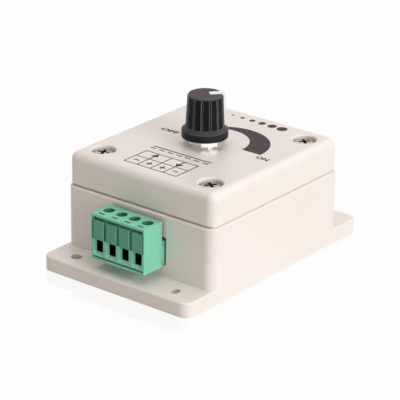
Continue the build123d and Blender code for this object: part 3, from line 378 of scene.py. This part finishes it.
for wide, height in steps:
    grown = bmesh.ops.extrude_edge_only(bm, edges=loop)["geom"]
    ring = [item for item in grown if isinstance(item, bmesh.types.BMVert)]
    edges = [item for item in grown if isinstance(item, bmesh.types.BMEdge)]
    loop = [edge for edge in edges if all(vert in ring for vert in edge.verts)]
    bmesh.ops.scale(bm, verts=ring, vec=(wide * mm / radius, wide * mm / radius, 1))
    bmesh.ops.translate(bm, verts=ring, vec=(0, 0, height - level))
    radius = wide * mm
    level = height
bmesh.ops.contextual_create(bm, geom=loop)
sunk = bmesh.ops.extrude_face_region(bm, geom=[cross])["geom"]
bmesh.ops.delete(bm, geom=[cross], context="FACES_ONLY")
recessFloor = [item for item in sunk if isinstance(item, bmesh.types.BMVert)]
bmesh.ops.scale(bm, verts=recessFloor, vec=(screws["taper"], screws["taper"], 1))
bmesh.ops.translate(bm, verts=recessFloor, vec=(0, 0, -screws["recess"] * mm))
bmesh.ops.recalc_face_normals(bm, faces=bm.faces)
for face in bm.faces:
    face.smooth = True
    face.material_index = 1 if any(vert in recessFloor for vert in face.verts) else 0
for edge in bm.edges:
    edge.smooth = edge.calc_face_angle(math.pi) < math.radians(screws["crease"])
reachX = screwHigh.x - screws["head"] * mm
reachY = screwHigh.y - screws["head"] * mm
single = bm.verts[:] + bm.edges[:] + bm.faces[:]
corners = [(-reachX, -reachY), (reachX, -reachY), (-reachX, reachY), (reachX, reachY)]
for number, (placeX, placeY) in enumerate(corners):
    copied = single
    if number < len(corners) - 1:
        copied = bmesh.ops.duplicate(bm, geom=single)["geom"]
    points = [item for item in copied if isinstance(item, bmesh.types.BMVert)]
    turned = Matrix.Rotation(math.radians(screws["turns"][number]), 3, "Z")
    bmesh.ops.rotate(bm, verts=points, cent=(0, 0, 0), matrix=turned)
    bmesh.ops.translate(bm, verts=points, vec=(placeX, placeY, 0))
screwMesh = bpy.data.meshes.new("lidScrews")
bm.to_mesh(screwMesh)
bm.free()
screwMesh.materials.append(makeFinish("screwSteel", screwLook))
screwMesh.materials.append(makeFinish("screwRecessShade", recessShadeLook))
lidScrews = bpy.data.objects.new("lidScrews", screwMesh)
scene.collection.objects.link(lidScrews)
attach(lidScrews, "box")
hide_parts("lid_screws")
print("lid screws made:", len(screwMesh.polygons), "faces")

# print on the lid, in mm from the knob's axis
inkLook = dict(colour=(62, 52, 56), shade=(52, 43, 46), blotch=500, patch=900, rough=(0.5, 0.62),
               grain=3000, bump=0.15, depth=0.01, specular=0.2)
inkFinish = makeFinish("printInk", inkLook)
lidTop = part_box("lid")[1].z
printLook = dict(gap=0.004, thick=0.02, merge=0.001)
# create_grid takes half a side, and this gives squares of 1 m to be scaled
halfUnit = 0.5


def printed(name, bm):
    # lay flat faces on the lid and give the ink its thickness
    bmesh.ops.remove_doubles(bm, verts=bm.verts, dist=printLook["merge"] * mm)
    bmesh.ops.recalc_face_normals(bm, faces=bm.faces)
    grown = bmesh.ops.extrude_face_region(bm, geom=bm.faces[:])
    top = [item for item in grown["geom"] if isinstance(item, bmesh.types.BMVert)]
    bmesh.ops.translate(bm, verts=top, vec=(0, 0, printLook["thick"] * mm))
    bmesh.ops.translate(bm, verts=bm.verts, vec=(0, 0, lidTop + printLook["gap"] * mm))
    bmesh.ops.recalc_face_normals(bm, faces=bm.faces)
    mesh = bpy.data.meshes.new(name)
    bm.to_mesh(mesh)
    bm.free()
    mesh.materials.append(inkFinish)
    piece = bpy.data.objects.new(name, mesh)
    scene.collection.objects.link(piece)
    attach(piece, "box")


def addBar(bm, left, bottom, right, top):
    corners = bmesh.ops.create_grid(bm, x_segments=1, y_segments=1, size=halfUnit)["verts"]
    bmesh.ops.scale(bm, verts=corners, vec=((right - left) * mm, (top - bottom) * mm, 1))
    bmesh.ops.translate(bm, verts=corners, vec=((left + right) / 2 * mm, (bottom + top) / 2 * mm, 0))


def addArc(bm, centre, radius, start, end, steps):
    hub = Vector((centre[0] * mm, centre[1] * mm, 0))
    spoke = Matrix.Rotation(math.radians(start), 3, "Z") @ Vector((radius * mm, 0, 0))
    first = bm.verts.new(hub + spoke)
    bmesh.ops.spin(bm, geom=[first], cent=hub, axis=(0, 0, 1), dvec=(0, 0, 0),
                   angle=math.radians(end - start), steps=steps)


# dial: a crescent that grows towards ON
band = dict(outerCentre=(3.9, 4.2), outerRadius=14.9, outerFrom=-1.6, outerTo=166.3,
            innerCentre=(0.23, 3.96), innerRadius=11.45, innerFrom=-1.0, innerTo=160.9, steps=72)
bm = bmesh.new()
addArc(bm, band["outerCentre"], band["outerRadius"], band["outerFrom"], band["outerTo"], band["steps"])
addArc(bm, band["innerCentre"], band["innerRadius"], band["innerFrom"], band["innerTo"], band["steps"])
bmesh.ops.bridge_loops(bm, edges=bm.edges[:])
printed("dialBand", bm)

# plain ON and OFF at the ends of the dial, with weight as the font's own offset
words = {
    "onWord": dict(text="ON", middle=(21.2, 1.75), width=4.5, height=1.95, weight=0.034),
    "offWord": dict(text="OFF", middle=(-15.6, 2.1), width=6.8, height=1.95, weight=0.034),
}
for name, word in words.items():
    curve = bpy.data.curves.new(name, "FONT")
    curve.body = word["text"]
    curve.offset = word["weight"]
    holder = bpy.data.objects.new(name, curve)
    scene.collection.objects.link(holder)
    bpy.context.view_layer.update()
    flat = holder.evaluated_get(bpy.context.evaluated_depsgraph_get())
    flatMesh = bpy.data.meshes.new_from_object(flat)
    bpy.data.objects.remove(holder)
    bm = bmesh.new()
    bm.from_mesh(flatMesh)
    bpy.data.meshes.remove(flatMesh)
    low = Vector([min(vert.co[axis] for vert in bm.verts) for axis in range(3)])
    high = Vector([max(vert.co[axis] for vert in bm.verts) for axis in range(3)])
    bmesh.ops.translate(bm, verts=bm.verts, vec=-(low + high) / 2)
    size = high - low
    bmesh.ops.scale(bm, verts=bm.verts, vec=(word["width"] * mm / size.x, word["height"] * mm / size.y, 1))
    bmesh.ops.translate(bm, verts=bm.verts, vec=(word["middle"][0] * mm, word["middle"][1] * mm, 0))
    printed(name, bm)

# wiring table: two wide cells over four
table = dict(left=-10.3, right=10.1, bottom=-26.7, top=-15.9, middle=-20.95, line=0.38, columns=4, rows=2)
half = table["line"] / 2
cell = (table["right"] - table["left"]) / table["columns"]
tall = table["top"] - table["bottom"]
centre = Vector(((table["left"] + table["right"]) / 2 * mm, (table["bottom"] + table["top"]) / 2 * mm, 0))
bm = bmesh.new()
made = bmesh.ops.create_grid(bm, x_segments=table["columns"], y_segments=table["rows"], size=halfUnit)
grid = made["verts"]
bmesh.ops.scale(bm, verts=grid, vec=(table["columns"] * cell * mm, tall * mm, 1))
bmesh.ops.translate(bm, verts=grid, vec=centre)
middleRow = [vert for vert in grid if abs(vert.co.y - centre.y) < half * mm]
bmesh.ops.translate(bm, verts=middleRow, vec=(0, table["middle"] * mm - centre.y, 0))
joined = []
for edge in bm.edges:
    between = all(abs(abs(vert.co.x - centre.x) - cell * mm) < half * mm for vert in edge.verts)
    if between and max(vert.co.y for vert in edge.verts) > (table["middle"] + half) * mm:
        joined.append(edge)
bmesh.ops.dissolve_edges(bm, edges=joined, use_verts=False)
rims = []
for side, axis, outward in (("left", 0, -1), ("right", 0, 1), ("bottom", 1, -1), ("top", 1, 1)):
    verts = [vert for vert in bm.verts if abs(vert.co[axis] - table[side] * mm) < half * mm]
    shift = Vector((0, 0, 0))
    shift[axis] = outward * half * mm
    rims.append((verts, shift))
openings = bm.faces[:]
bmesh.ops.inset_individual(bm, faces=openings, thickness=half * mm, use_even_offset=True)
bmesh.ops.delete(bm, geom=openings, context="FACES_ONLY")
for verts, shift in rims:
    bmesh.ops.translate(bm, verts=verts, vec=shift)
printed("wiringTable", bm)

# polarity signs in the small cells, and an arrow into and out of the box in the wide ones
signs = dict(marks="-++-", size=2.2, stroke=0.55, arrow=4.4, head=1.6)
stroke = signs["stroke"] / 2
reach = signs["size"] / 2
bm = bmesh.new()
lowerY = (table["bottom"] + table["middle"]) / 2
upperY = (table["middle"] + table["top"]) / 2
for column, mark in enumerate(signs["marks"]):
    signX = table["left"] + (column + 0.5) * cell
    addBar(bm, signX - reach, lowerY - stroke, signX + reach, lowerY + stroke)
    if mark == "+":
        addBar(bm, signX - stroke, lowerY + stroke, signX + stroke, lowerY + reach)
        addBar(bm, signX - stroke, lowerY - reach, signX + stroke, lowerY - stroke)
for column, lead in ((1, 1), (3, -1)):
    arrowX = table["left"] + column * cell
    headY = upperY + lead * signs["head"] / 2
    tail = sorted((upperY - lead * signs["arrow"] / 2, headY - lead * signs["head"] / 2))
    addBar(bm, arrowX - stroke, tail[0], arrowX + stroke, tail[1])
    head = bmesh.ops.create_circle(bm, cap_ends=True, segments=3, radius=signs["head"] * mm)["verts"]
    turned = Matrix.Rotation(0 if lead > 0 else math.pi, 3, "Z")
    bmesh.ops.rotate(bm, verts=head, cent=(0, 0, 0), matrix=turned)
    bmesh.ops.translate(bm, verts=head, vec=(arrowX * mm, headY * mm, 0))
printed("tableSigns", bm)

# brightness scale: a row of growing dots above the dial
dots = dict(first=(-9.2, 26.3), step=3.95, count=6, smallest=0.5, largest=1.75, segments=40)
bm = bmesh.new()
for number in range(dots["count"]):
    wide = dots["smallest"] + (dots["largest"] - dots["smallest"]) * number / (dots["count"] - 1)
    dot = bmesh.ops.create_circle(bm, cap_ends=True, segments=dots["segments"], radius=wide * mm)["verts"]
    dotX = dots["first"][0] + number * dots["step"]
    bmesh.ops.translate(bm, verts=dot, vec=(dotX * mm, dots["first"][1] * mm, 0))
printed("scaleDots", bm)

# direct-current mark: a full line over a broken one
supply = dict(left=-11.2, right=11.5, upper=-11.4, lower=-12.9, thick=0.55, dashes=7, share=0.62)
halfLine = supply["thick"] / 2
pace = (supply["right"] - supply["left"]) / (supply["dashes"] - 1 + supply["share"])
bm = bmesh.new()
addBar(bm, supply["left"], supply["upper"] - halfLine, supply["right"], supply["upper"] + halfLine)
for number in range(supply["dashes"]):
    dashX = supply["left"] + number * pace
    dashEnd = dashX + pace * supply["share"]
    addBar(bm, dashX, supply["lower"] - halfLine, dashEnd, supply["lower"] + halfLine)
printed("supplyMark", bm)
print("print laid on the lid")

# camera at the photograph's viewing angle, in metres, with roll in degrees and lens and sensor in mm
shot = dict(place=(0.396657, -0.507502, 0.284304), aim=(0.0, -0.00199, 0.01736), roll=0.80,
            lens=199.14, sensor=36.0, clip=(0.01, 20))


def facing(place, aim):
    return (Vector(aim) - Vector(place)).to_track_quat("-Z", "Y").to_matrix()


camera = bpy.data.objects.new("camera", bpy.data.cameras.new("camera"))
scene.collection.objects.link(camera)
camera.data.lens = shot["lens"]
camera.data.sensor_width = shot["sensor"]
camera.data.clip_start, camera.data.clip_end = shot["clip"]
turn = facing(shot["place"], shot["aim"]) @ Matrix.Rotation(math.radians(shot["roll"]), 3, "Z")
camera.rotation_euler = turn.to_euler()
camera.location = shot["place"]
scene.camera = camera


def seenDirectly(tree):
    # 1 for rays from the camera and for what shows in metal or glass
    path = tree.nodes.new("ShaderNodeLightPath")
    seen = path.outputs["Is Camera Ray"]
    for kind in ("Is Glossy Ray", "Is Transmission Ray"):
        either = tree.nodes.new("ShaderNodeMath")
        either.operation = "MAXIMUM"
        tree.links.new(seen, either.inputs[0])
        tree.links.new(path.outputs[kind], either.inputs[1])
        seen = either.outputs[0]
    return seen


# white sheet under the object, with a faint shine that mirrors the front ear's edge
# in metres, but drop is in mm, and shineFront and shineRight go from no shine to full shine
floorLook = dict(size=6.0, drop=0.02, colour=(0.63, 0.605, 0.56), rough=0.6, white=0.96, shine=0.10,
                 shineRough=0.06, shineFront=(-0.0545, -0.0515), shineRight=(0.034, 0.029))
bm = bmesh.new()
bmesh.ops.create_grid(bm, x_segments=1, y_segments=1, size=floorLook["size"] / 2)
floorMesh = bpy.data.meshes.new("floor")
bm.to_mesh(floorMesh)
bm.free()
floor = bpy.data.objects.new("floor", floorMesh)
scene.collection.objects.link(floor)
floor.location.z = -floorLook["drop"] * mm
sheet = Finish("whiteSheet")
sheet.shader.inputs["Base Color"].default_value = (*floorLook["colour"], 1)
sheet.shader.inputs["Roughness"].default_value = floorLook["rough"]
glow = sheet.add("ShaderNodeEmission")
pale = sheet.add("ShaderNodeMixShader")
sheet.link(sheet.maths("MULTIPLY", seenDirectly(sheet.tree), floorLook["white"]), pale.inputs["Fac"])
sheet.link(sheet.shader.outputs["BSDF"], pale.inputs[1])
sheet.link(glow.outputs["Emission"], pale.inputs[2])
shine = sheet.add("ShaderNodeBsdfGlossy")
shine.inputs["Color"].default_value = pureWhite
shine.inputs["Roughness"].default_value = floorLook["shineRough"]
spot = sheet.add("ShaderNodeSeparateXYZ")
sheet.link(sheet.place, spot.inputs["Vector"])
inFront = sheet.span(spot.outputs["Y"], 0.0, floorLook["shine"], floorLook["shineFront"])
notRight = sheet.span(spot.outputs["X"], 0.0, 1.0, floorLook["shineRight"])
glazed = sheet.add("ShaderNodeMixShader")
sheet.link(sheet.maths("MULTIPLY", inFront, notRight), glazed.inputs["Fac"])
sheet.link(pale.outputs["Shader"], glazed.inputs[1])
sheet.link(shine.outputs["BSDF"], glazed.inputs[2])
sheet.link(glazed.outputs["Shader"], sheet.tree.nodes["Material Output"].inputs["Surface"])
floorMesh.materials.append(sheet.material)

# white room: full strength where it is seen, lower as light
room = dict(light=0.31, seen=1.0, warm=(1.0, 0.955, 0.87, 1))
world = bpy.data.worlds.new("studio")
scene.world = world
world.use_nodes = True
tree = world.node_tree
sky = tree.nodes["Background"]
seen = seenDirectly(tree)
strength = tree.nodes.new("ShaderNodeMapRange")
strength.inputs["To Min"].default_value = room["light"]
strength.inputs["To Max"].default_value = room["seen"]
tree.links.new(seen, strength.inputs["Value"])
tree.links.new(strength.outputs["Result"], sky.inputs["Strength"])
hue = tree.nodes.new("ShaderNodeMix")
hue.data_type = "RGBA"
hue.inputs[mixFirst].default_value = room["warm"]
hue.inputs[mixSecond].default_value = pureWhite
tree.links.new(seen, hue.inputs["Factor"])
tree.links.new(hue.outputs[mixResult], sky.inputs["Color"])

# soft lamps, in metres and watts: the key from the right, a broad box above, a weak fill from the left front
lamps = {
    "keyFromRight": dict(place=(0.83, -0.10, 0.28), size=(0.5, 0.4), power=4.65, colour=(0.96, 0.98, 1.0)),
    "topSoftbox": dict(place=(0.0, 0.12, 0.85), size=(0.9, 0.9), power=4.15, colour=(1.0, 0.972, 0.972)),
    "frontFill": dict(place=(-0.35, -0.8, 0.25), size=(0.4, 0.4), power=0.1, colour=(1.0, 0.97, 0.94)),
}
lampAim = (0, 0, 0.02)
for name, lamp in lamps.items():
    light = bpy.data.lights.new(name, "AREA")
    light.shape = "RECTANGLE"
    light.size, light.size_y = lamp["size"]
    light.energy = lamp["power"]
    light.color = lamp["colour"]
    holder = bpy.data.objects.new(name, light)
    scene.collection.objects.link(holder)
    holder.location = lamp["place"]
    holder.rotation_euler = facing(lamp["place"], lampAim).to_euler()

scene.view_settings.view_transform = "Standard"
print("camera, floor and lamps set")
